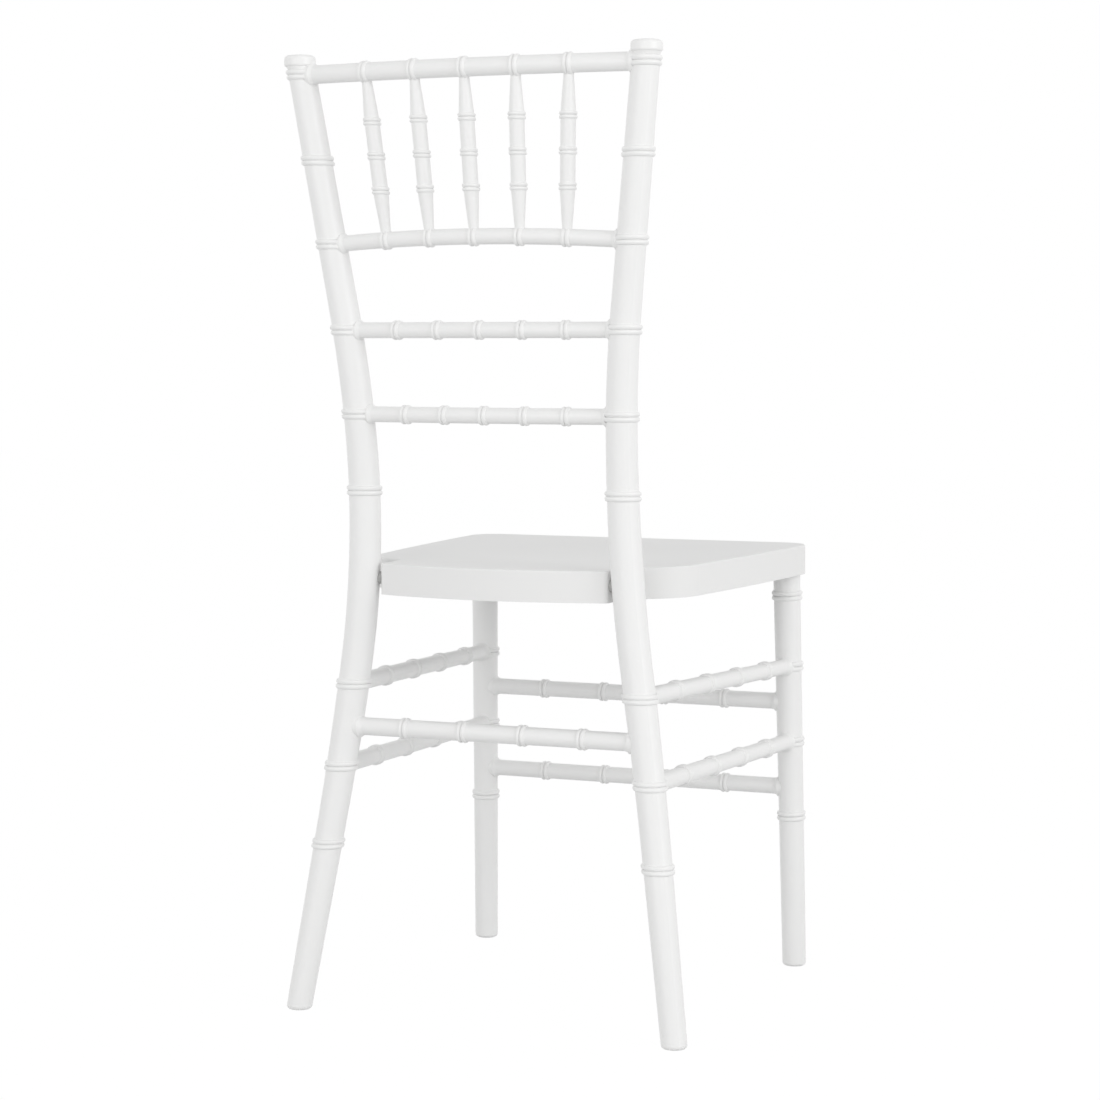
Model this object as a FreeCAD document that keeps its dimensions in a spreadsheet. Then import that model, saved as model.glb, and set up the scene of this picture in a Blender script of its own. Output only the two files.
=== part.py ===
import FreeCAD, Part

import math
import os

import Sketcher
from FreeCAD import Placement, Rotation, Vector

# Moulded chiavari chair. +Z is up, +X is the sitter's left, the front faces -Y.
# The origin is on the floor, at the middle of the chair's width and depth.
# Millimetres throughout.

SIZES = (
    ("overall_height", 920.0, "floor to the top of the finials"),
    # Back posts, each bent once in front view and once in side view
    ("post_waist_x", 122.9, "front view: half spacing where the two straight runs would meet"),
    ("post_waist_height", 506.5, "front view: height of that corner"),
    ("post_splay_up", 7.56, "front view: lean outward above the waist, degrees"),
    ("post_splay_down", 8.37, "front view: lean outward below the waist, degrees"),
    ("post_front_bend", 1250.0, "front view: bend radius"),
    ("post_hip_y", 137.4, "side view: where the two straight runs would meet"),
    ("post_hip_height", 376.5, "side view: height of that corner"),
    ("post_rake_up", 6.76, "side view: lean to the rear above the hip, degrees"),
    ("post_rake_down", 6.16, "side view: lean to the rear below the hip, degrees"),
    ("post_side_bend", 1730.0, "side view: bend radius"),
    ("post_dia_top", 26.0, "post diameter under the finial"),
    ("post_dia_seat", 31.0, "post diameter at the seat"),
    ("post_dia_stretcher", 30.4, "post diameter at the upper side stretcher"),
    ("post_dia_foot", 24.6, "post diameter at the floor"),
    ("foot_round", 3.5, "rounding of the foot's edge"),
    ("floor_allowance", 12.0, "extra length of posts and legs below the floor, trimmed off"),
    ("post_station_step", 35.0, "largest spacing of the sections along a post"),
    ("stub_half", 28.0, "half length of the short part of a post that a member is fitted to"),
    ("stub_station_step", 14.0, "spacing of the sections along that part"),
    ("finial_dia", 28.4, "finial cap diameter"),
    ("finial_length", 11.0, "finial cap length"),
    ("finial_round_top", 4.0, "rounding of the cap's upper edge"),
    ("finial_round_bottom", 2.4, "rounding of the cap's lower edge"),
    ("finial_neck_dia", 25.0, "neck between the cap and the top rings"),
    # Heights of the rings and of the members that join there
    ("crest_height", 901.4, "crest rail and top rings"),
    ("high_ring_height", 821.3, "free rings between crest rail and spindle rail"),
    ("spindle_rail_height", 742.4, "spindle rail at the posts"),
    ("upper_ladder_height", 661.1, "upper ladder rail"),
    ("lower_ladder_height", 581.0, "lower ladder rail"),
    ("seat_ring_height", 507.5, "free rings above the seat"),
    ("upper_side_height", 319.2, "upper side stretcher at the post"),
    ("lower_side_height", 238.8, "lower side stretcher at the post"),
    ("low_ring_height", 162.6, "free rings above the foot"),
    ("rear_stretcher_height", 277.8, "rear stretcher"),
    # Rings
    ("post_ring_half", 2.5, "half width of one ring on posts and legs"),
    ("post_ring_rise", 2.1, "height of a ring above the post or leg"),
    ("ring_valley", 0.3, "height of the groove between two rings"),
    ("rail_ring_half", 2.2, "half width of one ring on rails and stretchers"),
    ("rail_ring_rise", 1.7, "height of a ring above a rail or stretcher"),
    ("spindle_ring_half", 1.85, "half width of one ring on a spindle"),
    ("spindle_ring_rise", 1.4, "height of a ring above a spindle"),
    # Rails of the back
    ("back_radius", 1250.0, "bow of the rails to the rear"),
    ("spindle_rail_arch", 5.3, "rise of the spindle rail at its middle"),
    ("crest_dia", 17.4, "crest rail diameter"),
    ("rail_dia", 15.1, "spindle rail and ladder rail diameter"),
    ("crest_pitch", 51.8, "spacing of the crest rail's rings and spindles"),
    ("spindle_rail_pitch", 46.4, "spacing of the spindle rail's rings and spindles"),
    ("upper_ladder_pitch", 43.6, "spacing of the upper ladder rail's rings"),
    ("lower_ladder_pitch", 41.6, "spacing of the lower ladder rail's rings"),
    ("flare_rise", 2.4, "widening of a rail or stretcher where it meets a post or leg"),
    ("flare_length", 5.5, "length of that widening"),
    ("flare_sink", 0.5, "how far its narrow end dips into a bent rail"),
    ("flare_hollow", 0.12, "hollow of a bent rail's widening, as a share of its slant"),
    ("flare_inside", 0.40, "run of that widening in the holder, as a share of the holder's radius"),
    ("bar_end", 0.55, "end of a bar before trimming, from the holder's middle, as a share of its radius"),
    ("overlap", 2.0, "extra length of solids that are joined or cut"),
    # Spindles
    ("spindle_dia", 14.2, "spindle diameter between its outer rings"),
    ("spindle_end_dia", 9.4, "spindle diameter at the rails"),
    ("spindle_ring_pitch", 32.3, "spacing of a spindle's ring pairs"),
    ("spindle_end_depth", 4.5, "depth of a spindle's end in the rail"),
    # Front legs
    ("front_foot_x", 178.2, "half spacing of the front feet at the floor"),
    ("front_foot_y", -208.6, "front feet at the floor"),
    ("front_leg_lean_x", 0.78, "lean inward to the top, degrees"),
    ("front_leg_lean_y", 2.06, "lean to the rear to the top, degrees"),
    ("front_leg_dia_top", 28.0, "front leg diameter at the seat"),
    ("front_leg_dia_foot", 24.4, "front leg diameter at the floor"),
    ("front_ring_height_1", 389.2, "rings under the seat"),
    ("front_ring_height_2", 315.6, "rings at the upper side stretcher"),
    ("front_ring_height_3", 237.0, "rings at the lower side stretcher"),
    ("front_ring_height_4", 158.8, "free rings above the foot"),
    ("front_upper_height", 278.0, "upper front stretcher"),
    ("front_lower_height", 188.6, "lower front stretcher"),
    # Stretchers
    ("front_stretcher_dia", 16.8, "front stretcher diameter"),
    ("front_stretcher_pitch", 68.8, "spacing of its ring pairs"),
    ("rear_stretcher_dia", 17.3, "rear stretcher diameter"),
    ("rear_stretcher_pitch", 62.2, "spacing of its ring pairs"),
    ("side_dia_rear", 17.4, "side stretcher diameter at the post"),
    ("side_dia_front", 15.6, "side stretcher diameter at the leg"),
    ("side_first_ring", 76.5, "post centre to the first ring pair"),
    ("side_ring_pitch", 69.8, "spacing of its ring pairs"),
    # Joints between members
    ("spigot_dia", 10.0, "round spigot at the end of a rail or stretcher"),
    ("spigot_depth", 7.5, "depth of the spigot in the post or leg"),
    ("glue_gap", 0.1, "clearance round a spigot or pin, filled with adhesive"),
    ("core_dia", 7.0, "steel rod inside posts and front legs"),
    ("core_end_cover", 34.0, "resin below and above a rod's ends"),
    # Seat
    ("seat_height", 437.2, "top edge of the seat at the rear of its tongue's sides"),
    ("seat_tilt", 0.70, "rise of the seat to the front, degrees"),
    ("seat_front_y", -222.2, "front face of the seat"),
    ("seat_front_half", 191.5, "half width at the front"),
    ("seat_rear_half", 171.0, "half width where the side meets the rear corner's arc"),
    ("seat_side_end_y", 51.9, "rear end of the seat's sides"),
    ("seat_side_bow", 3.0, "bow of the sides outward"),
    ("seat_shoulder_y", 108.2, "where the rear corners meet the tongue's sides"),
    ("seat_tongue_half", 119.2, "half width of the tongue between the posts"),
    ("seat_tongue_y", 152.8, "rear end of the tongue's sides"),
    ("seat_rear_bow", 19.0, "bow of the tongue's rear edge"),
    ("seat_depth", 30.2, "height of the seat's apron"),
    ("seat_wall", 3.2, "wall of the apron"),
    ("seat_top_wall", 4.0, "thickness of the seat's top at its lowest point"),
    ("seat_front_corner", 27.0, "radius of the front corners"),
    ("seat_rear_corner", 66.0, "radius of the rear corners"),
    ("seat_tongue_corner", 5.0, "radius of the tongue's rear corners"),
    ("seat_root_corner", 7.0, "radius where the tongue leaves the seat"),
    ("seat_edge_round", 1.8, "rounding of the top edge"),
    ("seat_dish_depth", 5.0, "depth of the dish in the seat's top"),
    ("seat_dish_radius", 158.0, "radius of the dish at the top surface"),
    ("seat_dish_y", -45.2, "centre of the dish"),
    ("seat_rib", 2.6, "thickness of the ribs under the seat"),
    ("seat_rib_depth", 13.0, "depth of the ribs"),
    ("seat_rib_spacing", 84.0, "spacing of the ribs"),
    # Seat fixings
    ("leg_pin_dia", 21.0, "reduced top of the front leg inside the seat"),
    ("leg_socket_wall", 4.6, "wall of the seat's socket round that pin"),
    ("leg_socket_recess", 7.0, "seat's lower edge up to the socket's mouth"),
    ("leg_top_play", 0.4, "play over the leg's shoulder and over its top"),
    ("leg_play", 0.25, "clearance round the leg's top under the socket, on the radius"),
    ("leg_relief", 30.0, "length of that clearance below the socket"),
    ("leg_pad_size", 12.0, "sides of the flat pad under the screw's washer"),
    ("leg_pad_height", 2.2, "its height"),
    ("leg_pad_stand", 1.0, "pad's face in front of the socket's wall"),
    ("leg_screw_dia", 5.0, "screw into the front leg"),
    ("leg_screw_length", 15.0, "its length under the head"),
    ("leg_screw_head_dia", 9.5, "its head"),
    ("leg_screw_head_height", 3.2, "height of its head"),
    ("bolt_dia", 6.0, "bolt through the tongue's side into the post"),
    ("bolt_length", 25.0, "its length under the head"),
    ("bolt_head_dia", 10.0, "its head"),
    ("bolt_head_height", 5.0, "height of its head"),
    ("bolt_above_edge", 15.7, "bolt's height over the seat's lower edge"),
    ("bolt_forward", 4.0, "bolt's centre in front of the post's middle line"),
    ("bolt_pad", 6.0, "thickening of the tongue's side at the bolt"),
    ("bolt_pad_half", 9.0, "half width of that thickening"),
    ("insert_dia", 8.6, "threaded insert in the post"),
    ("insert_length", 9.0, "its length"),
    ("insert_sink", 2.0, "its mouth below the post's surface"),
    ("washer_thickness", 1.4, "steel washers"),
    ("washer_rim", 3.0, "width of a washer's ring"),
    ("spacer_dia", 12.0, "spacer ring between tongue and post"),
    ("screw_chamfer", 0.12, "chamfer of a screw's tip, as a share of its diameter"),
    ("head_round", 0.2, "rounding of a screw's head, as a share of its height"),
    ("key_size", 0.4, "corners of its hexagon socket from the middle, as a share of its diameter"),
    ("key_depth", 0.55, "depth of that socket, as a share of the head's height"),
    ("screw_clearance", 0.25, "play of a screw in a through hole, on the radius"),
)

doc = FreeCAD.newDocument("chiavari_chair")
sheet = doc.addObject("Spreadsheet::Sheet", "Sizes")
for row, (alias, number, note) in enumerate(SIZES, start=1):
    sheet.set("A%d" % row, alias)
    sheet.set("B%d" % row, str(number))
    sheet.set("C%d" % row, note)
    sheet.setAlias("B%d" % row, alias)
doc.recompute()


class Size:
    """A number together with the sheet expression that gives it."""

    def __init__(self, value, text):
        self.value = float(value)
        self.text = text

    def _join(self, other, sign, value):
        return Size(value, "(%s %s %s)" % (self.text, sign, as_size(other).text))

    def __add__(self, other):
        return self._join(other, "+", self.value + as_size(other).value)

    def __sub__(self, other):
        return self._join(other, "-", self.value - as_size(other).value)

    def __mul__(self, other):
        return self._join(other, "*", self.value * as_size(other).value)

    def __truediv__(self, other):
        return self._join(other, "/", self.value / as_size(other).value)

    def __neg__(self):
        return Size(-self.value, "(0 - %s)" % self.text)


def as_size(number):
    return number if isinstance(number, Size) else Size(number, repr(float(number)))


def cell(alias):
    """The named size, with its expression."""
    return Size(sheet.get(alias), "Sizes.%s" % alias)


def mm(alias):
    """The named size as a plain number."""
    return float(sheet.get(alias))


# Places along the frame

def bent_line(height, corner, corner_height, lean_up, lean_down, radius):
    """Offset at a height of a line that leans away above and below one rounded corner."""
    up = math.radians(lean_up)
    down = math.radians(lean_down)
    reach = radius * math.tan((up + down) / 2)
    arc_top = corner_height + reach * math.cos(up)
    arc_bottom = corner_height - reach * math.cos(down)
    if height >= arc_top:
        return corner + (height - corner_height) * math.tan(up)
    if height <= arc_bottom:
        return corner + (corner_height - height) * math.tan(down)
    centre = corner + reach * math.sin(up) + radius * math.cos(up)
    centre_height = arc_top - radius * math.sin(up)
    return centre - math.sqrt(radius ** 2 - (height - centre_height) ** 2)


def post_point(side, height):
    """Centre of a back post at a height; side is 1 for the sitter's left."""
    across = bent_line(height, mm("post_waist_x"), mm("post_waist_height"),
                       mm("post_splay_up"), mm("post_splay_down"), mm("post_front_bend"))
    along = bent_line(height, mm("post_hip_y"), mm("post_hip_height"),
                      mm("post_rake_up"), mm("post_rake_down"), mm("post_side_bend"))
    return Vector(side * across, along, height)


def post_direction(side, height):
    step = 0.5
    line = post_point(side, height + step) - post_point(side, height - step)
    return line.normalize()


def post_radius(height):
    """Half the post's diameter, thickest at the seat."""
    stations = ((0.0, "post_dia_foot"),
                (mm("upper_side_height"), "post_dia_stretcher"),
                (mm("seat_height"), "post_dia_seat"),
                (mm("overall_height"), "post_dia_top"))
    for (low, low_name), (high, high_name) in zip(stations, stations[1:]):
        if height <= high:
            share = (height - low) / (high - low)
            return (mm(low_name) + share * (mm(high_name) - mm(low_name))) / 2
    return mm("post_dia_top") / 2


def leg_point(side, height):
    """Centre of a front leg at a height."""
    across = mm("front_foot_x") - height * math.tan(math.radians(mm("front_leg_lean_x")))
    along = mm("front_foot_y") + height * math.tan(math.radians(mm("front_leg_lean_y")))
    return Vector(side * across, along, height)


def leg_radius(height):
    share = height / mm("seat_height")
    return (mm("front_leg_dia_foot") + share * (mm("front_leg_dia_top") - mm("front_leg_dia_foot"))) / 2


def aimed(start, end, spin=37):
    """Placement that puts local Z on the line from start to end, turned by a spin about it."""
    along = Placement(start, Rotation(Vector(0, 0, 1), end - start))
    return along.multiply(Placement(Vector(0, 0, 0), Rotation(Vector(0, 0, 1), spin)))


def facing(centre, direction, seam):
    """Placement with local Z along a direction and local X towards a round surface's seam."""
    return Placement(centre, Rotation(seam, Vector(), direction, "ZXY"))


# Outlines and turned members

class Outline:
    """Corners of a closed outline, joined by lines or by arcs of a named radius."""

    def __init__(self):
        self.corners = []
        self.arcs = {}

    def line_to(self, across, along):
        self.corners.append((as_size(across), as_size(along)))

    def arc_to(self, across, along, radius, turn):
        """turn is 1 for an arc that runs anticlockwise and -1 for clockwise."""
        self.arcs[len(self.corners) - 1] = (as_size(radius), turn)
        self.line_to(across, along)

    def rings(self, radius, station, half, rise):
        """A pair of rings, side by side, centred on a station of a turned surface."""
        bead = (half * half + rise * rise) / (rise * 2)
        self.line_to(radius, station - half * 2)
        self.arc_to(radius, station, bead, 1)
        self.arc_to(radius, station + half * 2, bead, 1)

    def draw(self, sketch):
        count = len(self.corners)
        ends = []
        for index in range(count):
            start = Vector(self.corners[index][0].value, self.corners[index][1].value, 0)
            finish_at = self.corners[(index + 1) % count]
            finish = Vector(finish_at[0].value, finish_at[1].value, 0)
            if index not in self.arcs:
                geometry = sketch.addGeometry(Part.LineSegment(start, finish), False)
                ends.append((geometry, 1, 2))
                continue
            radius, turn = self.arcs[index]
            span = finish - start
            rise = math.sqrt(radius.value ** 2 - span.Length ** 2 / 4)
            left = Vector(-span.y, span.x, 0).normalize()
            centre = (start + finish) / 2 + left * (rise * turn)
            first, last = (start, finish) if turn > 0 else (finish, start)
            angles = [math.atan2(spot.y - centre.y, spot.x - centre.x) for spot in (first, last)]
            circle = Part.Circle(centre, Vector(0, 0, 1), radius.value)
            geometry = sketch.addGeometry(Part.ArcOfCircle(circle, angles[0], angles[1]), False)
            ends.append((geometry, 1, 2) if turn > 0 else (geometry, 2, 1))
        for index in range(count):
            geometry, _, leave = ends[index]
            follower, arrive, _ = ends[(index + 1) % count]
            constrain(sketch, "Coincident", geometry, leave, follower, arrive)
        for index, (across, along) in enumerate(self.corners):
            geometry, enter, _ = ends[index]
            hold(sketch, "DistanceX", geometry, enter, across, -2)
            hold(sketch, "DistanceY", geometry, enter, along, -1)
        for index, (radius, _) in self.arcs.items():
            number = constrain(sketch, "Radius", ends[index][0], radius.value)
            sketch.setExpression("Constraints[%d]" % number, radius.text)


def constrain(sketch, kind, *details):
    return sketch.addConstraint(Sketcher.Constraint(kind, *details))


def hold(sketch, kind, geometry, corner, size, axis):
    """Ties a corner's distance from the sketch's origin to a size; zero puts it on the axis."""
    if size.value == 0:
        constrain(sketch, "PointOnObject", geometry, corner, axis)
        return
    number = constrain(sketch, kind, -1, 1, geometry, corner, size.value)
    sketch.setExpression("Constraints[%d]" % number, size.text)


def new_body(name):
    body = doc.addObject("PartDesign::Body", name)
    body.Label = name
    return body


def new_sketch(body, name, plane):
    sketch = body.newObject("Sketcher::SketchObject", name)
    for feature in body.Origin.OriginFeatures:
        if feature.Role == plane:
            sketch.AttachmentSupport = [(feature, "")]
    sketch.MapMode = "FlatFace"
    return sketch


def turned_body(name, outline):
    """A body turned about its own Z axis."""
    body = new_body(name)
    sketch = new_sketch(body, name + "_profile", "XZ_Plane")
    outline.draw(sketch)
    turning = body.newObject("PartDesign::Revolution", name + "_turning")
    turning.Profile = sketch
    turning.ReferenceAxis = (sketch, ["V_Axis"])
    turning.Angle = 360
    body.Tip = turning
    sketch.Visibility = False
    return body


def cylinder(name, radius, height, placement):
    solid = doc.addObject("Part::Cylinder", name)
    solid.setExpression("Radius", as_size(radius).text)
    solid.setExpression("Height", as_size(height).text)
    solid.Placement = placement.multiply(Placement(Vector(0, 0, 0), Rotation(Vector(0, 0, 1), 19)))
    return solid


def compound(name, parts):
    group = doc.addObject("Part::Compound", name)
    group.Links = parts
    return group


def cut(name, base, tools):
    result = doc.addObject("Part::Cut", name)
    result.Base = base
    result.Tool = tools[0] if len(tools) == 1 else compound(name + "_cutters", tools)
    return result


def cut_each(name, base, tools):
    """Cuts with one tool after another."""
    for number, tool in enumerate(tools, start=1):
        result = doc.addObject("Part::Cut", "%s_%d" % (name, number))
        result.Base = base
        result.Tool = tool
        base = result
    return base


def fuse(name, parts):
    result = doc.addObject("Part::MultiFuse", name)
    result.Shapes = parts
    return result


def shape_object(name, shape):
    holder = doc.addObject("Part::Feature", name)
    holder.Shape = shape
    return holder


def straight_bar(name, length, start_radius, end_radius, start_hold, end_hold, stations):
    """A turned bar between two holders, with flared ends that reach inside the holders."""
    half = cell("rail_ring_half")
    rise = cell("rail_ring_rise")
    flare = cell("flare_rise")
    reach = cell("flare_length")
    curve = (flare * flare + reach * reach) / (flare * 2)
    inside = start_hold * cell("bar_end")
    outside = length - end_hold * cell("bar_end")
    outline = Outline()
    outline.line_to(0, inside)
    outline.line_to(start_radius + flare, inside)
    outline.line_to(start_radius + flare, start_hold)
    outline.arc_to(start_radius, start_hold + reach, curve, -1)
    for station in stations:
        radius = start_radius + (end_radius - start_radius) * (station / length)
        outline.rings(radius, station, half, rise)
    outline.line_to(end_radius, length - end_hold - reach)
    outline.arc_to(end_radius + flare, length - end_hold, curve, -1)
    outline.line_to(end_radius + flare, outside)
    outline.line_to(0, outside)
    return turned_body(name, outline)


def spigot_pair(name, start, end, start_hold, end_hold, extra_radius=0.0, extra_depth=0.0):
    """Round spigots, or the sockets for them, at both ends of a bar."""
    pair = []
    radius = cell("spigot_dia") / 2 + extra_radius
    depth = cell("spigot_depth") + extra_depth
    for tag, here, there, hold_radius in (("a", start, end, start_hold), ("b", end, start, end_hold)):
        way = (there - here).normalize()
        mouth = here + way * (hold_radius - depth.value)
        pair.append(cylinder("%s_%s" % (name, tag), radius, depth + cell("rail_ring_rise") + cell("overlap"),
                             aimed(mouth, there)))
    return pair


# Back posts

def ring_pair_shape(centre, direction, seam, radius, half, rise):
    """Two round beads, side by side, round a rod of the given radius."""
    bead = (half ** 2 + rise ** 2) / (2 * rise)
    middle = radius + rise - bead
    valley = radius + mm("ring_valley")
    offset = math.sqrt(bead ** 2 - (valley - middle) ** 2)
    beads = []
    for sign in (-1, 1):
        ring = Part.makeTorus(middle, bead)
        ring.Placement = facing(centre + direction * (sign * offset), direction, seam)
        beads.append(ring)
    return beads


RING_HEIGHTS = [mm(name) for name in (
    "crest_height", "high_ring_height", "spindle_rail_height", "upper_ladder_height", "lower_ladder_height",
    "seat_ring_height", "upper_side_height", "lower_side_height", "low_ring_height")]


def post_rod(side, low, high, step, radius_at):
    """A bent rod that follows the post's middle line between two heights."""
    spans = max(3, math.ceil((high - low) / step))
    wires = []
    for index in range(spans + 1):
        height = low + (high - low) * index / spans
        ring = Part.makeCircle(radius_at(height))
        ring.Placement = facing(post_point(side, height), post_direction(side, height), Vector(side, 1, 0))
        wires.append(Part.Wire(ring))
    return Part.makeLoft(wires, True, False)


def post_rings(side, low, high):
    """Ring pairs of a post that lie between two heights."""
    rings = []
    for height in RING_HEIGHTS:
        if low < height <= high:
            rings += ring_pair_shape(post_point(side, height), post_direction(side, height),
                                     Vector(side, 0.2, 0), post_radius(height), mm("post_ring_half"),
                                     mm("post_ring_rise"))
    return rings


def finial_shapes(side):
    """Cap and neck at the top of a post."""
    crest = mm("crest_height")
    base = post_point(side, crest)
    axis = post_direction(side, crest)
    summit = base + axis * ((mm("overall_height") - crest) / axis.z)
    cap = Part.makeCylinder(mm("finial_dia") / 2, mm("finial_length"),
                            summit - axis * mm("finial_length"), axis)
    rims = sorted(edge_circles(cap), key=lambda edge: edge.BoundBox.Center.z)
    cap = cap.makeFillet(mm("finial_round_bottom"), [rims[0]])
    rims = sorted(edge_circles(cap), key=lambda edge: edge.BoundBox.Center.z)
    cap = cap.makeFillet(mm("finial_round_top"), [rims[-1]])
    neck = Part.makeCylinder(mm("finial_neck_dia") / 2, (summit - base).Length - mm("finial_length") / 2,
                             base, axis)
    return [neck, cap]


def post_blank_shape(side):
    """Outer form of one back post, before its sockets are cut."""
    crest = mm("crest_height")
    below = mm("floor_allowance")
    stem = post_rod(side, -below, crest, mm("post_station_step"), post_radius)
    foot = post_point(side, 0.0)
    width = mm("post_dia_seat") * 3
    stem = stem.cut(Part.makeBox(width, width, below * 2, foot - Vector(width / 2, width / 2, below * 2)))
    foot_edges = [edge for edge in stem.Edges if edge.BoundBox.ZMax < 0.01]
    stem = stem.makeFillet(mm("foot_round"), foot_edges)
    return joined(stem, finial_shapes(side) + post_rings(side, 0.0, crest))


def post_stub_shape(side, height):
    """The short part of a post round one height."""
    crest = mm("crest_height")
    low = height - mm("stub_half")
    high = min(height + mm("stub_half"), crest)
    stem = post_rod(side, low, high, mm("stub_station_step"), post_radius)
    extras = post_rings(side, low, high)
    if high == crest:
        extras += finial_shapes(side)
    return joined(stem, extras)


def edge_circles(shape):
    return [edge for edge in shape.Edges if edge.Closed and hasattr(edge.Curve, "Radius")]


def joined(shape, pieces):
    """Fuses pieces one at a time; each has to add material."""
    for piece in pieces:
        grown = shape.fuse(piece)
        if not grown.isValid() or grown.Volume <= shape.Volume:
            raise SystemExit("a piece did not join")
        shape = grown
    return shape


def core_shape(side):
    """Steel rod along the middle of a back post."""
    return post_rod(side, mm("core_end_cover"), mm("crest_height") - mm("core_end_cover"),
                    mm("post_station_step"), lambda height: mm("core_dia") / 2)


SIDES = (("left", 1), ("right", -1))
post_blanks = {}
post_sockets = {}
post_cores = {}
for word, side in SIDES:
    post_blanks[side] = shape_object("post_blank_" + word, post_blank_shape(side))
    post_cores[side] = shape_object("back_post_core_" + word, core_shape(side))
    post_sockets[side] = [post_cores[side]]
post_stubs = {}


def post_stub(side, height):
    """The short part of a post that a member at this height touches."""
    key = (side, round(height))
    if key not in post_stubs:
        name = "post_stub_%d_%s" % (round(height), "left" if side > 0 else "right")
        post_stubs[key] = shape_object(name, post_stub_shape(side, height))
    return post_stubs[key]


# Bent rails of the back

def bent_bar(name, height, radius, pitch, arch):
    """A rail bowed to the rear between the posts, with rings and flared ends."""
    ends = [post_point(side, height) for side in (1, -1)]
    half_span = ends[0].x
    bow = mm("back_radius") - math.sqrt(mm("back_radius") ** 2 - half_span ** 2)
    offset = Vector(0, bow, arch)
    middle = (ends[0] + ends[1]) / 2 + offset
    out = Vector(offset).normalize()
    bend = (half_span ** 2 + offset.Length ** 2) / (2 * offset.Length)
    centre = middle - out * bend

    def spot(across):
        sine = across / bend
        cosine = math.sqrt(1 - sine ** 2)
        place = centre + Vector(1, 0, 0) * (bend * sine) + out * (bend * cosine)
        return place, Vector(cosine, 0, 0) - out * sine

    hold_radius = post_radius(height)
    inner = half_span - hold_radius * mm("bar_end")
    first, way = spot(-inner)
    circle = Part.makeCircle(radius)
    circle.Placement = facing(first, way, out)
    section = Part.Face(Part.Wire(circle))
    sweep = math.degrees(2 * math.asin(inner / bend))
    rod = section.revolve(centre, out.cross(Vector(1, 0, 0)), sweep)
    pieces = []
    for sign in (-1, 1):
        place, way = spot(sign * (half_span - hold_radius))
        pieces.append(flare_shape(radius, place, way * -sign, hold_radius * mm("flare_inside")))
    for step in range(-2, 3):
        place, way = spot(step * pitch)
        pieces += ring_pair_shape(place, way, Vector(0, 2, -1), radius, mm("rail_ring_half"),
                                  mm("rail_ring_rise"))
    bar = shape_object(name + "_bar", joined(rod, pieces))
    spigots = []
    length = cell("spigot_depth") + cell("rail_ring_rise") + cell("overlap")
    gap = cell("glue_gap")
    for word, side in SIDES:
        surface, way = spot(side * (half_span - hold_radius))
        start = surface + way * (side * mm("spigot_depth"))
        spigots.append(cylinder("%s_spigot_%s" % (name, word), cell("spigot_dia") / 2, length,
                                aimed(start, surface)))
        deeper = start + way * (side * mm("glue_gap"))
        post_sockets[side].append(cylinder("%s_socket_%s" % (name, word), cell("spigot_dia") / 2 + gap,
                                           length + gap + cell("overlap"), aimed(deeper, surface)))
    trimmed = cut_each(name + "_trimmed", bar, [post_stub(1, height), post_stub(-1, height)])
    return fuse(name + "_solid", [trimmed] + spigots), spot


def flare_shape(radius, base, way, inside):
    """Concave widening of a rail where it meets a post, with a short run inside the post."""
    rise = mm("flare_rise")
    reach = mm("flare_length")
    sink = mm("flare_sink")
    wide = Vector(radius + rise, 0, 0)
    narrow = Vector(radius - sink, 0, reach)
    chord = narrow - wide
    hollow = Vector(-chord.z, 0, chord.x).normalize() * (chord.Length * mm("flare_hollow"))
    corners = [Vector(0, 0, -inside), Vector(radius + rise, 0, -inside), wide, narrow, Vector(0, 0, reach)]
    edges = [Part.makeLine(corners[0], corners[1]), Part.makeLine(corners[1], corners[2]),
             Part.Arc(wide, (wide + narrow) / 2 + hollow, narrow).toShape(),
             Part.makeLine(corners[3], corners[4]), Part.makeLine(corners[4], corners[0])]
    flare = Part.Face(Part.Wire(edges)).revolve(Vector(0, 0, 0), Vector(0, 0, 1), 360)
    flare.Placement = Placement(base, Rotation(Vector(0, 0, 1), way))
    return flare


crest_solid, crest_spot = bent_bar(
    "crest_rail", mm("crest_height"), mm("crest_dia") / 2, mm("crest_pitch"), 0.0)
spindle_rail_solid, spindle_rail_spot = bent_bar(
    "spindle_rail", mm("spindle_rail_height"), mm("rail_dia") / 2, mm("spindle_rail_pitch"),
    mm("spindle_rail_arch"))
upper_ladder_solid = bent_bar(
    "upper_ladder_rail", mm("upper_ladder_height"), mm("rail_dia") / 2, mm("upper_ladder_pitch"), 0.0)[0]
lower_ladder_solid = bent_bar(
    "lower_ladder_rail", mm("lower_ladder_height"), mm("rail_dia") / 2, mm("lower_ladder_pitch"), 0.0)[0]


# Spindles

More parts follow.
